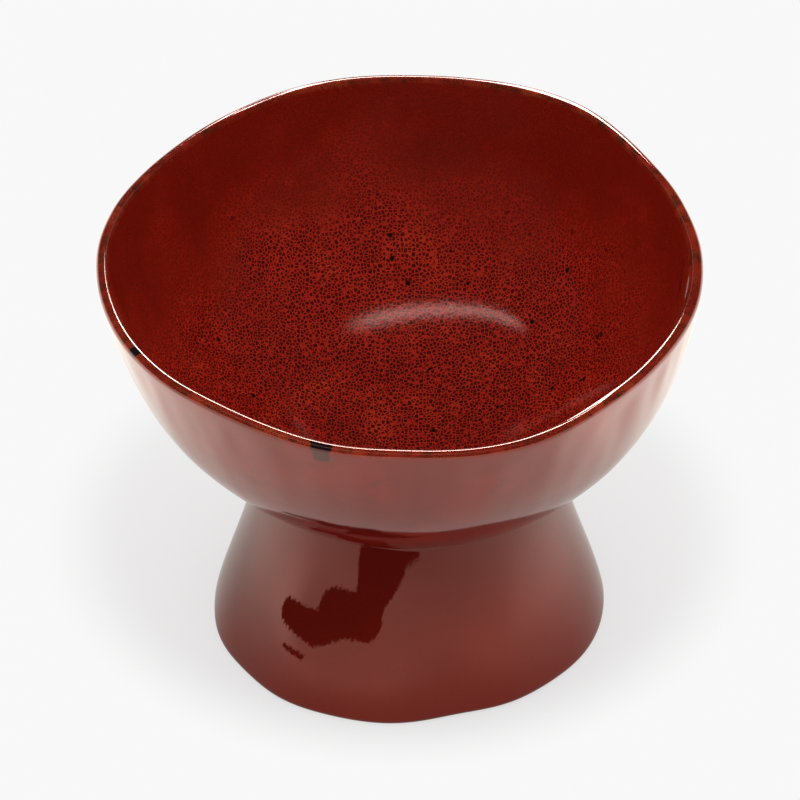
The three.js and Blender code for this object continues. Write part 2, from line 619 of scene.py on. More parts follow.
@dataclass(frozen=True)
class FootGlaze:
    """The same glaze on the foot, smoother, broken through to bare clay on the resting edge, and with
    painted shade: darker towards the top, under the bowl, and on the left.
    """

    name: str = "foot_glaze"
    # coat is the painted shade under the bowl and on the left side; warm is the lighter tone lower down.
    coat: tuple = srgb(84, 16, 10)
    warm: tuple = srgb(106, 22, 12)
    edge: tuple = srgb(92, 52, 28)
    clay: tuple = srgb(140, 92, 66)
    grain: tuple = srgb(50, 8, 6)
    grain_size: float = 0.9 * MM
    grain_edge: tuple[float, float] = (0.30, 0.12)
    grain_strength: float = 0.45
    shaded_above: float = 70.0 * MM
    lit_below: float = 5.0 * MM
    left_shade: float = 0.4
    drift: float = 25.0 * MM
    drift_size: float = 30.0 * MM
    wobble: float = 0.8 * MM
    wobble_size: float = 10.0 * MM
    edge_top: float = 2.4 * MM
    edge_full: float = 1.0 * MM
    bare_top: float = 0.5 * MM
    bare_full: float = 0.1 * MM
    bare_roughness: float = 0.7
    relief: float = 0.06 * MM
    relief_size: float = 1.1 * MM
    relief_strength: float = 0.35
    roughness: float = 0.05
    ior: float = 1.64
    gloss_tint: tuple = (1.0, 0.42, 0.35, 1.0)

    def make(self) -> bpy.types.Material:
        """Builds the foot's glaze.

        Returns:
            The material.
        """
        material, n, shader = new_material(self.name)
        place = n.place()
        axes = n.add("SeparateXYZ", Vector=place).outputs
        height = axes["Z"]
        uneven = n.swing(n.noise(place, self.drift_size, 3.0), self.drift)
        # Painted shade: the coat darkens towards the top under the bowl and towards the left side.
        uneven = n.math("MULTIPLY_ADD", axes["X"], -self.left_shade, uneven)
        low = n.ramp(n.math("ADD", height, uneven), self.shaded_above, self.lit_below)
        coat = n.mix(low, self.coat, self.warm)
        grain = n.ramp(n.cells(place, self.grain_size), *self.grain_edge)
        coat = n.mix(n.math("MULTIPLY", grain, self.grain_strength), coat, self.grain)
        wobble = n.swing(n.noise(place, self.wobble_size), self.wobble)
        rest = n.math("ADD", height, wobble)
        coat = n.mix(n.ramp(rest, self.edge_top, self.edge_full), coat, self.edge)
        bare = n.ramp(rest, self.bare_top, self.bare_full)
        n.put(n.mix(bare, coat, self.clay), shader.inputs["Base Color"])
        n.put(n.math("MULTIPLY_ADD", bare, self.bare_roughness, self.roughness), shader.inputs["Roughness"])
        shader.inputs["IOR"].default_value = self.ior
        shader.inputs["Specular Tint"].default_value = self.gloss_tint
        height = n.noise(place, self.relief_size, 3.0)
        n.emboss(shader, height, self.relief_strength, self.relief)
        return material


@dataclass(frozen=True)
class FiredSlip:
    """The luting slip, fired to a rough brown clay."""

    name: str = "fired_slip"
    body: tuple = srgb(120, 66, 46)
    dark: tuple = srgb(74, 32, 24)
    mottle_size: float = 3.0 * MM
    roughness: float = 0.75
    relief: float = 0.3 * MM
    relief_size: float = 1.2 * MM
    relief_strength: float = 0.6

    def make(self) -> bpy.types.Material:
        """Builds the slip's clay.

        Returns:
            The material.
        """
        material, n, shader = new_material(self.name)
        place = n.place()
        mottle = n.noise(place, self.mottle_size, 4.0)
        n.put(n.mix(mottle, self.dark, self.body), shader.inputs["Base Color"])
        shader.inputs["Roughness"].default_value = self.roughness
        n.emboss(shader, n.noise(place, self.relief_size, 4.0), self.relief_strength, self.relief)
        return material


def to_object(name: str, bm: bmesh.types.BMesh) -> bpy.types.Object:
    """Makes an object at the origin from a mesh being edited.

    Args:
        name: The object's name, which its mesh takes too.
        bm: The mesh, which is freed.

    Returns:
        The object.
    """
    mesh = bpy.data.meshes.new(name)
    bm.to_mesh(mesh)
    bm.free()
    piece = bpy.data.objects.new(name, mesh)
    bpy.context.scene.collection.objects.link(piece)
    return piece


@dataclass
class TurnedPiece:
    """A piece spun from a profile and then moved point by point."""

    steps_round: int = 288

    def profile(self) -> Line:
        """The piece's outline in the plane of (radius, height)."""
        raise NotImplementedError

    def hand_shape(self, place: Vector, along: float) -> Vector:
        """Where a turned point ends up."""
        raise NotImplementedError

    def side(self, along: float) -> Side:
        """Which coat a face takes, from where it lies along the profile."""
        return Side.OUTSIDE

    def spin(self, name: str, closed: bool) -> bpy.types.Object:
        """Spins the profile, closes it, shapes it by hand and makes the object.

        Args:
            name: The object's name.
            closed: Whether the profile joins up with itself, as on a ring.

        Returns:
            The object, at the origin.
        """
        points = self.profile().points
        bm = bmesh.new()
        layer = bm.verts.layers.float.new(ALONG)
        verts = [bm.verts.new((radius, 0.0, height)) for radius, height in points]
        for vert, along in zip(verts, self.measure(points)):
            vert[layer] = along
        edges = [bm.edges.new(pair) for pair in zip(verts, verts[1:])]
        if closed:
            edges.append(bm.edges.new((verts[-1], verts[0])))
        bmesh.ops.spin(
            bm,
            geom=verts + edges,
            cent=(0, 0, 0),
            axis=(0, 0, 1),
            angle=math.tau,
            steps=self.steps_round,
            use_merge=True,
        )
        bmesh.ops.remove_doubles(bm, verts=bm.verts, dist=SAME_VERTEX)
        for vert in bm.verts:
            vert.co = self.hand_shape(vert.co.copy(), vert[layer])
        bmesh.ops.recalc_face_normals(bm, faces=bm.faces)
        for face in bm.faces:
            face.smooth = True
            face.material_index = self.side(sum(vert[layer] for vert in face.verts)).value
        return to_object(name, bm)

    def middle(self, points: list[Point]) -> int:
        """Which profile point distances along the profile are measured from."""
        return max(range(len(points)), key=lambda i: points[i][1])

    def measure(self, points: list[Point]) -> list[float]:
        """How far each profile point lies along the profile from its middle point.

        Args:
            points: The profile's points.

        Returns:
            The distances, below zero before the middle point.
        """
        run = [0.0]
        for a, b in zip(points, points[1:]):
            run.append(run[-1] + math.dist(a, b))
        start = run[self.middle(points)]
        return [value - start for value in run]


@dataclass
class Seat:
    """Where the bowl sits on the foot, and how far off the rim's middle the foot stands."""

    radius: float = 71.0 * MM
    height: float = 90.5 * MM
    slope: float = 34.5
    shift_x: float = 4.0 * MM
    shift_y: float = -6.0 * MM
    slip: float = 1.0 * MM
    foot_wall: float = 8.0 * MM


@dataclass
class Bowl(TurnedPiece):
    """The thrown bowl, with its wavy lip and the shallow dents that fingers left in its wall."""

    seat: Seat = field(default_factory=Seat)
    rim_radius: float = 139.5 * MM
    rim_height: float = 201.0 * MM
    rim_slope: float = 76.5
    low_reach: float = 65.0 * MM
    high_reach: float = 37.0 * MM
    lip: float = 5.5 * MM
    lip_corner: float = 2.1 * MM
    lip_drop: float = 1.0 * MM
    lip_outer_corner: float = 3.1 * MM
    lip_inner_corner: float = 1.3 * MM
    crest_spread: float = 10.0
    wall: float = 11.0 * MM
    floor: float = 10.0 * MM
    spigot_depth: float = 5.0 * MM
    spigot_clearance: float = 0.4 * MM
    wave: float = 0.45 * MM
    wave_size: float = 34.0 * MM
    flute: float = 0.9 * MM
    flute_low: float = 0.25 * MM
    flute_width: float = 13.0 * MM
    flute_height: float = 48.0 * MM
    dent: float = 0.45 * MM
    dent_size: float = 24.0 * MM
    dent_start: float = 3.0 * MM
    dent_full: float = 20.0 * MM
    flute_start: float = 4.0 * MM
    flute_full: float = 18.0 * MM
    lean_full: float = 4.0 * MM
    lean_end: float = 9.0 * MM
    out_power: float = 1.5
    up_power: float = 2.0
    wave_rise: float = 0.25
    dent_rise: tuple[float, float] = (0.3, 0.6)
    flute_rise: float = 0.2
    flute_growth: tuple[float, float] = (0.5, 0.85)
    wall_steps: int = 56
    dome_steps: int = 24
    floor_steps: int = 30
    outer_steps: int = 12
    crest_steps: int = 14
    inner_steps: int = 10
    tangent_step: float = 0.001
    swells: tuple = (
        Swell(335, 24, -1.0 * MM, -2.5 * MM),
        Swell(289, 22, 5.0 * MM, -5.1 * MM),
        Swell(256, 17, 1.5 * MM, -4.1 * MM),
        Swell(220, 19, 2.5 * MM, 0.0),
        Swell(162, 24, -0.5 * MM, -1.5 * MM),
        Swell(139, 27, -3.0 * MM, -1.5 * MM),
        Swell(108, 12, -0.5 * MM, 1.5 * MM),
        Swell(58, 19, 4.5 * MM, 0.0),
        Swell(28, 28, -7.0 * MM, 4.5 * MM),
    )
    leans: tuple = (Lean(270, 70, -12.0), Lean(90, 60, 10.0))
    grooves: tuple = (Press(118, 11, 0.45 * MM), Press(60, 12, 0.4 * MM), Press(306, 7, 0.45 * MM))
    groove_width: float = 1.4 * MM
    groove_inset: float = 0.3 * MM
    rolls: tuple = (Press(346, 17, 4.2 * MM), Press(200, 12, 3.2 * MM))
    roll_start: float = 2.0 * MM
    roll_crest: float = 7.0 * MM
    roll_end: float = 34.0 * MM

    def outer_handles(self) -> tuple[Point, Point, Point, Point]:
        """Sets out the curve from the seat up to the lip.

        Returns:
            The curve's start, its two handles and its end.
        """
        low = (self.seat.radius, self.seat.height)
        high = step((self.rim_radius, self.rim_height - self.lip_corner), self.rim_slope, -self.lip_drop)
        leaving = step(low, self.seat.slope, self.low_reach)
        arriving = step(high, self.rim_slope, -self.high_reach)
        return low, leaving, arriving, high

    def inner_wall(self) -> list[Point]:
        """Moves the outer curve in by the wall, which thins towards the lip.

        Returns:
            The points from the floor up to the lip.
        """
        handles = self.outer_handles()
        points = []
        for i in range(self.wall_steps + 1):
            share = i / self.wall_steps
            near = bezier(*handles, max(share - self.tangent_step, 0.0))
            far = bezier(*handles, min(share + self.tangent_step, 1.0))
            heading = math.degrees(math.atan2(far[1] - near[1], far[0] - near[0]))
            depth = self.wall + (self.lip - self.wall) * share
            points.append(step(bezier(*handles, share), heading + 90, depth))
        return points

    def profile(self) -> Line:
        """Draws the bowl from the middle of its underside, out, over the lip and down to the floor.

        Returns:
            The profile.
        """
        spigot = self.seat.radius - self.seat.foot_wall - self.spigot_clearance
        edge = (spigot, self.seat.height - self.spigot_depth)
        dome = edge[0] / math.sin(math.radians(self.seat.slope))
        top = edge[1] + dome * math.cos(math.radians(self.seat.slope))
        inside = self.inner_wall()
        handles = self.outer_handles()
        line = Line().add((0.0, top - dome))
        line.arc((0.0, top), dome, -90, self.seat.slope - 90, self.dome_steps)
        line.points[0] = (0.0, top - dome)
        line.add((edge[0], self.seat.height))
        line.curve(*handles, self.wall_steps)
        self.over_lip(line)
        line.add(*reversed(inside))
        reach = inside[0][0] / 3
        middle = top - dome + self.floor
        handles = (inside[0], step(inside[0], self.seat.slope, -reach), (reach, middle), (0.0, middle))
        return line.curve(*handles, self.floor_steps)

    def over_lip(self, line: Line) -> None:
        """Adds the lip: a rounded corner, a slightly crowned level crest and a rounded corner.

        Args:
            line: The profile to add to.
        """
        outer = self.outer_handles()[3]
        across = self.rim_slope + 90
        from_up, to_up = 90 - self.crest_spread, 90 + self.crest_spread
        low = step(outer, across, self.lip_outer_corner)
        line.arc(low, self.lip_outer_corner, across - 180, from_up, self.outer_steps)
        radius = self.crest_radius()
        below = step(line.points[-1], from_up - 180, radius)
        line.arc(below, radius, from_up, to_up, self.crest_steps)
        inner = step(line.points[-1], to_up - 180, self.lip_inner_corner)
        line.arc(inner, self.lip_inner_corner, to_up, across, self.inner_steps)

    def crest_radius(self) -> float:
        """Works out the crest's radius, such that it just fills the wall between the two corners.

        Returns:
            The radius.
        """
        fall = math.radians(90 - self.rim_slope)
        spread = math.radians(self.crest_spread)
        filled = self.lip_outer_corner * (1 + math.sin(fall - spread))
        filled += self.lip_inner_corner * (1 - math.sin(fall + spread))
        return (self.lip - filled) / (2 * math.sin(spread) * math.cos(fall))

    @cached_property
    def crest(self) -> Point:
        """Finds the top of the lip on the turned bowl.

        Returns:
            The highest point.
        """
        line = Line()
        self.over_lip(line)
        return max(line.points, key=lambda point: point[1])

    def leaning(self, angle: float, radius: float, along: float) -> float:
        """How far the leaning or pressed crest lifts a point of the lip.

        Args:
            angle: Where round the bowl, in radians.
            radius: The point's radius on the turned bowl.
            along: Its distance along the profile from the lip's middle.

        Returns:
            The lift, below zero where the lip is pressed down.
        """
        degrees = sum(lean.degrees * lean.share(angle) for lean in self.leans)
        fall = math.tan(math.radians(degrees)) * (radius - self.crest[0])
        inset = (radius - self.crest[0] + self.groove_inset) / self.groove_width
        groove = sum(press.depth * press.share(angle) for press in self.grooves) * math.exp(-inset * inset)
        return -(fall + groove) * smooth(self.lean_end, self.lean_full, abs(along))

    def rolled(self, angle: float, along: float) -> float:
        """How far the inner edge is rolled inwards below the lip.

        Args:
            angle: Where round the bowl, in radians.
            along: The distance along the profile from the lip's middle.

        Returns:
            The roll's depth.
        """
        rising = smooth(self.roll_start, self.roll_crest, along)
        bulge = rising * smooth(self.roll_end, self.roll_crest, along)
        return sum(press.depth * press.share(angle) for press in self.rolls) * bulge

    def side(self, along: float) -> Side:
        """The inner coat past the lip's middle, the outer coat before it."""
        return Side.INSIDE if along > 0 else Side.OUTSIDE

    def hand_shape(self, place: Vector, along: float) -> Vector:
        """Moves a turned point to where the maker's hands left it.

        Args:
            place: The point on the turned bowl.
            along: Its distance along the profile from the lip's middle.

        Returns:
            The point on the finished bowl.
        """
        share = clamp((place.z - self.seat.height) / (self.rim_height - self.seat.height))
        angle = math.atan2(place.y, place.x)
        radius = math.hypot(place.x, place.y)
        radius += sum(swell.out * swell.share(angle) for swell in self.swells) * share**self.out_power
        lift = sum(swell.up * swell.share(angle) for swell in self.swells) * share**self.up_power
        lift += self.leaning(angle, math.hypot(place.x, place.y), along)
        radius += self.unevenness(angle, place.z, along, share)
        return Vector(
            (
                radius * math.cos(angle) + self.seat.shift_x * (1 - share),
                radius * math.sin(angle) + self.seat.shift_y * (1 - share),
                place.z + lift,
            )
        )

    def unevenness(self, angle: float, height: float, along: float, share: float) -> float:
        """The wall's slow wave, with upright flutes outside and shallow dents inside.

        Args:
            angle: Where round the bowl, in radians.
            height: The height on the turned bowl.
            along: The distance along the profile from the lip's middle.
            share: How far up the wall, from 0 to 1.

        Returns:
            How far the wall stands out.
        """
        ring = Vector((math.cos(angle), math.sin(angle), 0.0)) * self.rim_radius
        up = Vector((0.0, 0.0, height))
        out = noise.noise((ring + up) / self.wave_size) * self.wave * smooth(0.0, self.wave_rise, share)
        if self.side(along) is Side.INSIDE:
            dents = noise.noise((ring + up) / self.dent_size) * self.dent
            dents *= smooth(self.dent_start, self.dent_full, along)
            return (out + dents) * smooth(*self.dent_rise, share) - self.rolled(angle, along)
        depth = self.flute_low + (self.flute - self.flute_low) * smooth(*self.flute_growth, share)
        flutes = noise.noise(ring / self.flute_width + up / self.flute_height) * depth
        flutes *= smooth(self.flute_start, self.flute_full, -along)
        return out + flutes * smooth(0.0, self.flute_rise, share)

    def build(self) -> bpy.types.Object:
        """Makes and glazes the bowl.

        Returns:
            The bowl's object.
        """
        piece = self.spin("glazed_bowl", closed=False)
        for coat in (OuterGlaze(), InnerGlaze()):
            piece.data.materials.append(coat.make())
        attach(piece, "root")
        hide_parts("bowl")
        return piece


@dataclass
class Foot(TurnedPiece):
    """The hollow flared foot."""

    seat: Seat = field(default_factory=Seat)
    radius: float = 91.5 * MM
    waist_reach: float = 30.0 * MM
    flare_reach: float = 21.0 * MM
    flare_slope: float = 77.5
    outer_edge: float = 2.5 * MM
    inner_edge: float = 2.0 * MM
    wave: float = 0.35 * MM
    wave_size: float = 40.0 * MM
    fillet: float = 1.3 * MM
    fillet_sunk: float = 0.15 * MM
    wave_rise: float = 0.15
    steps: int = 40
    outer_steps: int = 8
    inner_steps: int = 6
    seam_steps: int = 8
    swells: tuple = (
        Swell(312, 16, -2.0 * MM),
        Swell(285, 16, -4.5 * MM),
        Swell(230, 16, 3.0 * MM),
        Swell(200, 16, 2.5 * MM),
    )

    @property
    def top(self) -> float:
        """Height of the foot's top face."""
        return self.seat.height - self.seat.slip

    def face(self, line: Line, radius: float, low: Point, down: bool) -> None:
        """Adds one face of the foot between the seat and the table edge.

        Args:
            line: The profile to add to.
            radius: The face's radius at the seat.
            low: Where it meets the table edge.
            down: Whether it runs downwards.
        """
        high = (radius, self.top)
        handles = [
            high,
            step(high, -90, self.waist_reach),
            step(low, 180 - self.flare_slope, self.flare_reach),
            low,
        ]
        if not down:
            handles.reverse()
        line.curve(*handles, self.steps)

    def profile(self) -> Line:
        """Draws the foot from its outer table edge up, over the seat and down the inside.

        Returns:
            The profile.
        """
        wall = self.seat.foot_wall
        outer = (self.radius - self.outer_edge, self.outer_edge)
        inner = (self.radius - wall + self.inner_edge, self.inner_edge)
        line = Line().arc(outer, self.outer_edge, -90, 0, self.outer_steps)
        self.face(line, self.seat.radius, (self.radius, self.outer_edge), down=False)
        self.seam(line)
        self.face(line, self.seat.radius - wall, (self.radius - wall, self.inner_edge), down=True)
        return line.arc(inner, self.inner_edge, 180, 270, self.inner_steps)

    def seam(self, line: Line) -> None:
        """Adds the glaze that ran into the seam and rounds it under the bowl's belly.

        Args:
            line: The profile to add to.
        """
        line.points = [point for point in line.points if point[1] < self.top - self.fillet]
        corner = (self.seat.radius, self.seat.height)
        low = (self.seat.radius, self.top - self.fillet)
        high = step(corner, self.seat.slope, self.fillet)
        falling = step(high, self.seat.slope - 180, self.fillet / 2)
        line.curve(low, step(low, 90, self.fillet), falling, high, self.seam_steps)
        line.add(step(high, self.seat.slope + 90, self.fillet_sunk))
        line.add(step(corner, self.seat.slope + 90, self.fillet_sunk), corner, (self.seat.radius, self.top))

    def hand_shape(self, place: Vector, along: float) -> Vector:
        """Moves a turned point to where the maker's hands left it.

        Args:
            place: The point on the turned foot.
            along: Its distance along the profile from the top; not used.

        Returns:
            The point on the finished foot.
        """
        share = clamp(1 - place.z / self.top)
        angle = math.atan2(place.y, place.x)
        radius = math.hypot(place.x, place.y)
        radius += sum(swell.out * swell.share(angle) for swell in self.swells) * share
        sample = Vector((math.cos(angle), math.sin(angle), 0.0)) * self.radius + Vector((0, 0, place.z))
        wave = noise.noise(sample / self.wave_size) * self.wave
        radius += wave * smooth(0.0, self.wave_rise, share)
        return Vector(
            (
                radius * math.cos(angle) + self.seat.shift_x,
                radius * math.sin(angle) + self.seat.shift_y,
                place.z,
            )
        )

    def build(self) -> bpy.types.Object:
        """Makes and glazes the foot.

        Returns:
            The foot's object.
        """
        piece = self.spin("glazed_foot", closed=True)
        piece.data.materials.append(FootGlaze().make())
        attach(piece, "root")
        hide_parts("foot")
        return piece


@dataclass
class SlipJoint(TurnedPiece):
    """The ring of fired slip between the bowl's ledge and the foot's top."""

    seat: Seat = field(default_factory=Seat)
    recess: float = 0.1 * MM
    bulge: float = 0.35 * MM
    bead_steps: int = 8

    def profile(self) -> Line:
        """Draws the slip's section, a little squeezed out on the hollow's side.

        Returns:
            The profile.
        """
        inner = self.seat.radius - self.seat.foot_wall + self.recess
        outer = self.seat.radius - self.recess
        low, high = self.seat.height - self.seat.slip, self.seat.height
        bead = inner - self.bulge
        line = Line().add((outer, low), (outer, high))
        return line.curve((inner, high), (bead, high), (bead, low), (inner, low), self.bead_steps)

    def hand_shape(self, place: Vector, along: float) -> Vector:
        """Sets a turned point over the foot's middle."""
        return place + Vector((self.seat.shift_x, self.seat.shift_y, 0.0))

    def build(self) -> bpy.types.Object:
        """Makes the slip and gives it its fired clay.

        Returns:
            The slip's object.
        """
        piece = self.spin("fired_slip", closed=True)
        piece.data.materials.append(FiredSlip().make())
        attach(piece, "root")
        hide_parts("slip_joint")
        return piece


@dataclass
class Softbox:
    """A rectangular soft light that shows only in the gloss: its name, place, aim, size and strength."""

    name: str
    place: tuple[float, float, float]
    aim: tuple[float, float, float]
    size: tuple[float, float]
    radiance: float
    color: tuple[float, float, float] = (1.0, 0.95, 0.89)

    def build(self) -> bpy.types.Object:
        """Makes the light.

        Returns:
            The light's object.
        """
        data = bpy.data.lights.new(self.name, "AREA")
        data.shape = "RECTANGLE"
        data.size, data.size_y = self.size
        data.color = self.color
        data.energy = self.radiance * math.pi * self.size[0] * self.size[1]
        lamp = bpy.data.objects.new(self.name, data)
        lamp.location = self.place
        away = Vector(self.aim) - Vector(self.place)
        lamp.rotation_euler = away.to_track_quat("-Z", "Y").to_euler()
        lamp.visible_camera = False
        lamp.visible_diffuse = False
        bpy.context.scene.collection.objects.link(lamp)
        return lamp


@dataclass
class ArchedLight:
    """A soft arched strip of light overhead, which shows as a bowed streak in the bowl's gloss alone."""

    name: str = "arched_light"
    height: float = 1.5
    left: float = -1.45
    right: float = 0.7
    soft_end: float = 0.42
    middle: float = -0.431
    skew: float = 0.096
    bow: float = 0.37
    width: float = 0.14
    strength: float = 3.4
    columns: int = 96
    rows: int = 16

    def build(self) -> bpy.types.Object:
        """Makes the strip and its glow.

        Returns:
            The strip's object.
        """
        bm = bmesh.new()
        bmesh.ops.create_grid(bm, x_segments=self.columns, y_segments=self.rows, size=1.0)
        layer = bm.verts.layers.float.new(GLOW)
        for vert in bm.verts:
            x = self.left + (self.right - self.left) * (vert.co.x + 1) / 2
            across = vert.co.y * self.width / 2
            vert[layer] = self.radiance(x, across)
            vert.co = (x, self.middle + self.skew * x + self.bow * x * x + across, self.height)
        return studio_piece(self.name, bm, glowing(self.name))

    def radiance(self, x: float, across: float) -> float:
        """How bright the strip is at a place.

        Args:
            x: The place from left to right.
            across: The distance from the strip's middle line.

        Returns:
            The radiance.
        """
        ends = smooth(self.left, self.left + self.soft_end, x)
        ends *= smooth(self.right, self.right - self.soft_end, x)
        return self.strength * smooth(self.width / 2, 0.0, abs(across)) * ends


@dataclass
class DarkCanopy:
    """The dark room that the gloss mirrors overhead, paling low down behind the bowl."""

    name: str = "dark_canopy"
    radius: float = 8.0
    columns: int = 120
    rows: int = 180
    dark: float = 0.02
    pale: float = 0.9
    pale_top: float = 7.0
    pale_fade: float = 4.0
    haze: float = 0.12
    haze_top: float = 30.0
    front: float = -0.15
    behind: float = 0.35

    def build(self) -> bpy.types.Object:
        """Makes the canopy.

        Returns:
            The canopy's object.
        """
        bm = bmesh.new()
        bmesh.ops.create_uvsphere(bm, u_segments=self.columns, v_segments=self.rows, radius=self.radius)
        geometry = bm.verts[:] + bm.edges[:] + bm.faces[:]
        bmesh.ops.bisect_plane(bm, geom=geometry, plane_co=(0, 0, 0), plane_no=(0, 0, 1), clear_inner=True)
        layer = bm.verts.layers.float.new(GLOW)
        for vert in bm.verts:
            vert[layer] = self.radiance(vert.co.normalized())
        return studio_piece(self.name, bm, glowing(self.name))

    def radiance(self, heading: Vector) -> float:
        """How bright the canopy is in a direction.

        Args:
            heading: The direction, of length 1.

        Returns:
            The radiance.
        """
        rise = math.degrees(math.asin(heading.z))
        low = self.pale * smooth(self.pale_top + self.pale_fade, self.pale_top, rise)
        haze = self.haze * smooth(self.haze_top, self.pale_top, rise)
        return self.dark + (low + haze) * smooth(self.front, self.behind, heading.y)


@dataclass(frozen=True)
class Stroke:
    """A tapering stroke on the dark card, from one place to another, with a radius at each end."""

    start: Point
    stop: Point
    start_radius: float
    stop_radius: float

    def outside(self, place: Point) -> float:
        """How far a place lies outside the stroke, below zero inside.

        Args:
            place: The place on the card, along it and up.

        Returns:
            The distance from the stroke's edge.
        """
        run = Vector(self.stop) - Vector(self.start)
        away = Vector(place) - Vector(self.start)
        share = clamp(away.dot(run) / run.length_squared)
        radius = self.start_radius + (self.stop_radius - self.start_radius) * share
        return (away - run * share).length - radius


@dataclass
class DarkCard:
    """A ragged dark card bent round the front of the foot, which shows in the gloss alone."""

    seat: Seat = field(default_factory=Seat)
    name: str = "dark_card"
    low_radius: float = 110.0 * MM
    narrowing: float = 0.244
    facing: float = 250.0
    arc_radius: float = 100.0 * MM
    left: float = -72.0 * MM
    right: float = 50.0 * MM
    low: float = 10.0 * MM
    high: float = 74.0 * MM
    fray: float = 3.0 * MM
    fray_size: float = 1.6 * MM
    edge: float = 0.3 * MM
    columns: int = 122
    rows: int = 64
    strokes: tuple = (
        Stroke((12.5 * MM, 72.0 * MM), (6.5 * MM, 56.0 * MM), 20.5 * MM, 11.5 * MM),
        Stroke((20.0 * MM, 71.0 * MM), (41.0 * MM, 69.0 * MM), 6.5 * MM, 1.8 * MM),
        Stroke((-20.0 * MM, 47.0 * MM), (6.0 * MM, 47.0 * MM), 9.5 * MM, 10.0 * MM),
        Stroke((-12.0 * MM, 44.0 * MM), (-28.0 * MM, 37.0 * MM), 8.0 * MM, 7.5 * MM),
        Stroke((-28.0 * MM, 38.0 * MM), (-55.0 * MM, 38.0 * MM), 8.0 * MM, 6.0 * MM),
        Stroke((-50.0 * MM, 23.0 * MM), (-33.0 * MM, 23.0 * MM), 1.2 * MM, 1.6 * MM),
    )

    def build(self) -> bpy.types.Object:
        """Makes the card.

        Returns:
            The card's object.
        """
        bm = bmesh.new()
        bmesh.ops.create_grid(bm, x_segments=self.columns, y_segments=self.rows, size=1.0)
        layer = bm.verts.layers.float.new(OFF_STROKE)
        for vert in bm.verts:
            along = self.left + (self.right - self.left) * (vert.co.x + 1) / 2
            height = self.low + (self.high - self.low) * (vert.co.y + 1) / 2
            vert[layer] = min(stroke.outside((along, height)) for stroke in self.strokes)
            turn = math.radians(self.facing) + along / self.arc_radius
            radius = self.low_radius - self.narrowing * height
            vert.co = (
                self.seat.shift_x + radius * math.cos(turn),
                self.seat.shift_y + radius * math.sin(turn),
                height,
            )
        return studio_piece(self.name, bm, self.ragged_black())

    def ragged_black(self) -> bpy.types.Material:
        """Makes the card black inside the strokes and clear outside, with a frayed edge between.

        Returns:
            The material.
        """
        material, n = empty_material(self.name)
        outside = n.attribute(OFF_STROKE)
        ragged = n.swing(n.noise(n.place(), self.fray_size, 5.0, 0.65), self.fray)
        dark = n.ramp(n.math("ADD", outside, ragged), self.edge, -self.edge)
        clear = n.add("BsdfTransparent")
        black = n.add("Emission", Strength=0.0)
        both = n.add("MixShader", in0=dark, in1=clear.outputs[0], in2=black.outputs[0])
        n.put(both.outputs[0], n.add("OutputMaterial").inputs["Surface"])
        return material


def glowing(name: str) -> bpy.types.Material:
    """Makes a plain light that is as bright as its mesh's own glow attribute says.

    Args:
        name: The material's name.

    Returns:
        The material.
    """
    material, n = empty_material(name)
    light = n.add("Emission", Strength=n.attribute(GLOW))
    n.put(light.outputs[0], n.add("OutputMaterial").inputs["Surface"])
    return material


def studio_piece(name: str, bm: bmesh.types.BMesh, finish: bpy.types.Material) -> bpy.types.Object:
    """Makes a studio piece that shows in the gloss alone.

    Args:
        name: The piece's name.
        bm: Its mesh, which is freed.
        finish: Its material.

    Returns:
        The piece's object.
    """
    piece = to_object(name, bm)
    piece.data.materials.append(finish)
    piece.visible_camera = False
    piece.visible_diffuse = False
    piece.visible_transmission = False
    piece.visible_shadow = False
    return piece


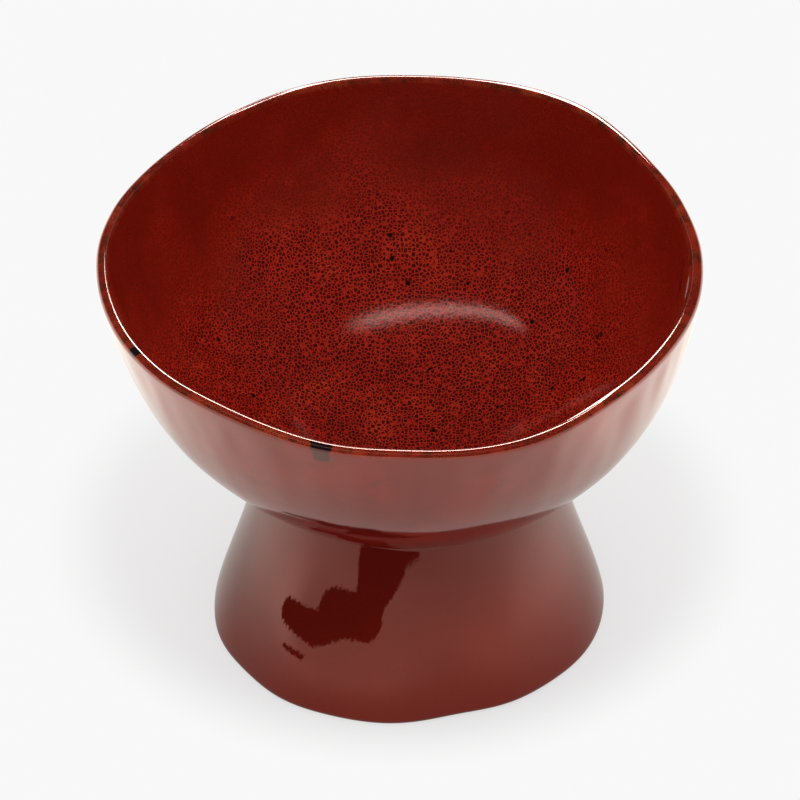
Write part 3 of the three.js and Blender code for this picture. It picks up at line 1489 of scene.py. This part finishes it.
@dataclass
class Studio:
    """The pale floor, the white room, the lights that show in the gloss, and the camera."""

    elevation: float = 38.33
    distance: float = 3.0
    aim: tuple[float, float, float] = (-0.67 * MM, -3.0 * MM, 117.64 * MM)
    focal_pixels: float = 6502.9
    picture_pixels: float = 800.0
    sensor: float = 36.0
    sight: float = 100.0
    floor_half: float = 12.0
    paper: tuple = srgb(247, 247, 247)
    paper_roughness: float = 0.9
    paper_glow: float = 0.6
    glow_strength: float = 0.94
    shadow_centre: tuple = (0.0, 0.045, 0.0)
    shadow_start: float = 0.129
    shadow_end: float = 0.175
    room_light: float = 0.95
    gloss_warmth: tuple = (1.0, 0.96, 0.88, 1.0)
    pool_start: float = 0.06
    pool_end: float = 0.22
    pool_squash: float = 0.67
    pool_dim: float = 0.6
    pool_bright: float = 1.35
    side_start: float = 0.15
    side_end: float = 0.27
    side_front: float = -0.2
    side_back: float = -0.08
    side_bright: float = 0.92
    back_aim: float = 0.2
    back_azimuth: float = 89.0
    back_elevation: float = 26.0
    back_distance: float = 1.5
    back_size: tuple[float, float] = (0.56, 0.25)
    back_radiance: float = 22.0

    def camera(self) -> bpy.types.Object:
        """Sets the camera where the photograph was taken from.

        Returns:
            The camera's object.
        """
        data = bpy.data.cameras.new("camera")
        data.sensor_width = self.sensor
        data.lens = self.focal_pixels * self.sensor / self.picture_pixels
        data.clip_end = self.sight
        camera = bpy.data.objects.new("camera", data)
        tilt = math.radians(self.elevation)
        back = Vector((0.0, -math.cos(tilt), math.sin(tilt)))
        camera.location = Vector(self.aim) + back * self.distance
        camera.rotation_euler = (math.pi / 2 - tilt, 0.0, 0.0)
        bpy.context.scene.collection.objects.link(camera)
        bpy.context.scene.camera = camera
        return camera

    def floor(self) -> bpy.types.Object:
        """Lays the pale floor.

        Returns:
            The floor's object.
        """
        bm = bmesh.new()
        bmesh.ops.create_grid(bm, x_segments=1, y_segments=1, size=self.floor_half)
        piece = to_object("floor", bm)
        piece.data.materials.append(self.white_paper())
        return piece

    def white_paper(self) -> bpy.types.Material:
        """The floor's paper: it takes the bowl's soft shadow and glows a little to the camera and in gloss.

        Returns:
            The material.
        """
        material, n, shader = new_material("white_paper")
        shader.inputs["Base Color"].default_value = self.paper
        shader.inputs["Roughness"].default_value = self.paper_roughness
        shader.inputs["Specular IOR Level"].default_value = 0.0
        path = n.add("LightPath").outputs
        seen = n.seen(path)
        warmth = n.mix(path["Is Glossy Ray"], (1.0, 1.0, 1.0, 1.0), self.gloss_warmth)
        glow = n.add("Emission", Color=warmth, Strength=self.floor_glow(n, path["Is Glossy Ray"]))
        reach = n.add("VectorMath", {"operation": "DISTANCE"}, in0=n.place(), in1=self.shadow_centre)
        away = n.ramp(reach.outputs["Value"], self.shadow_start, self.shadow_end)
        share = n.math("MULTIPLY_ADD", away, 1.0 - self.paper_glow, self.paper_glow)
        share = n.math("MULTIPLY", seen, share)
        both = n.add("MixShader", in0=share, in1=shader.outputs[0], in2=glow.outputs[0])
        n.put(both.outputs[0], material.node_tree.nodes["Material Output"].inputs["Surface"])
        return material

    def floor_glow(self, n: Nodes, gloss: object) -> bpy.types.NodeSocket:
        """How strongly the paper glows: evenly to the camera, and in gloss with a painted shadow that dims
        it near the foot and painted pools of light that brighten it further out and at the sides.

        Args:
            n: The node builder.
            gloss: The share of glossy rays.

        Returns:
            The strength's socket.
        """
        flat = n.add("VectorMath", {"operation": "MULTIPLY"}, in0=n.place())
        flat.inputs[1].default_value = (1.0, self.pool_squash, 0.0)
        reach = n.add("VectorMath", {"operation": "LENGTH"}, in0=flat.outputs[0]).outputs["Value"]
        # Painted shadow near the foot and painted pools of light further out and at the sides, seen only in
        # the gloss.
        pool = n.add("MapRange", Value=n.ramp(reach, self.pool_start, self.pool_end))
        pool.inputs["To Min"].default_value = self.pool_dim
        pool.inputs["To Max"].default_value = self.pool_bright
        axes = n.add("SeparateXYZ", Vector=n.place()).outputs
        sideways = n.math("ABSOLUTE", axes["X"])
        sides = n.ramp(sideways, self.side_start, self.side_end)
        sides = n.math("MULTIPLY", sides, n.ramp(axes["Y"], self.side_front, self.side_back))
        mirrored = n.math("MULTIPLY_ADD", sides, self.side_bright, pool.outputs["Result"])
        away = n.math("SUBTRACT", mirrored, self.glow_strength)
        return n.math("MULTIPLY_ADD", gloss, away, self.glow_strength)

    def world(self) -> None:
        """Makes the room: white where it is seen, with soft light from all round."""
        world = bpy.data.worlds.new("studio")
        world.use_nodes = True
        world.node_tree.nodes.clear()
        n = Nodes(world.node_tree)
        seen = n.seen(n.add("LightPath").outputs)
        strength = n.math("MULTIPLY_ADD", seen, 1.0 - self.room_light, self.room_light)
        back = n.add("Background", Strength=strength)
        back.inputs["Color"].default_value = (1.0, 1.0, 1.0, 1.0)
        n.put(back.outputs[0], n.add("OutputWorld").inputs["Surface"])
        world.cycles.sampling_method = "NONE"
        bpy.context.scene.world = world

    def lights(self) -> None:
        """Sets up the lights that show in the gloss."""
        aim = (0.0, 0.0, self.back_aim)
        Softbox("light_behind", self.behind(), aim, self.back_size, self.back_radiance).build()
        DarkCanopy().build()
        ArchedLight().build()
        DarkCard().build()

    def behind(self) -> tuple[float, float, float]:
        """Works out where the light behind the bowl hangs.

        Returns:
            The light's place.
        """
        turn, rise = math.radians(self.back_azimuth), math.radians(self.back_elevation)
        flat = self.back_distance * math.cos(rise)
        height = self.back_aim + self.back_distance * math.sin(rise)
        return flat * math.cos(turn), flat * math.sin(turn), height

    def build(self) -> None:
        """Sets up the whole studio."""
        self.camera()
        self.floor()
        self.world()
        self.lights()
        bpy.context.scene.view_settings.view_transform = "Standard"


def main() -> None:
    """Builds the studio and each piece in turn."""
    logging.basicConfig(level=logging.INFO, format="%(name)s: %(message)s")
    Studio().build()
    for maker in (Bowl(), Foot(), SlipJoint()):
        piece = maker.build()
        LOG.info("%s: %d faces", piece.name, len(piece.data.polygons))


if __name__ == "__main__":
    main()
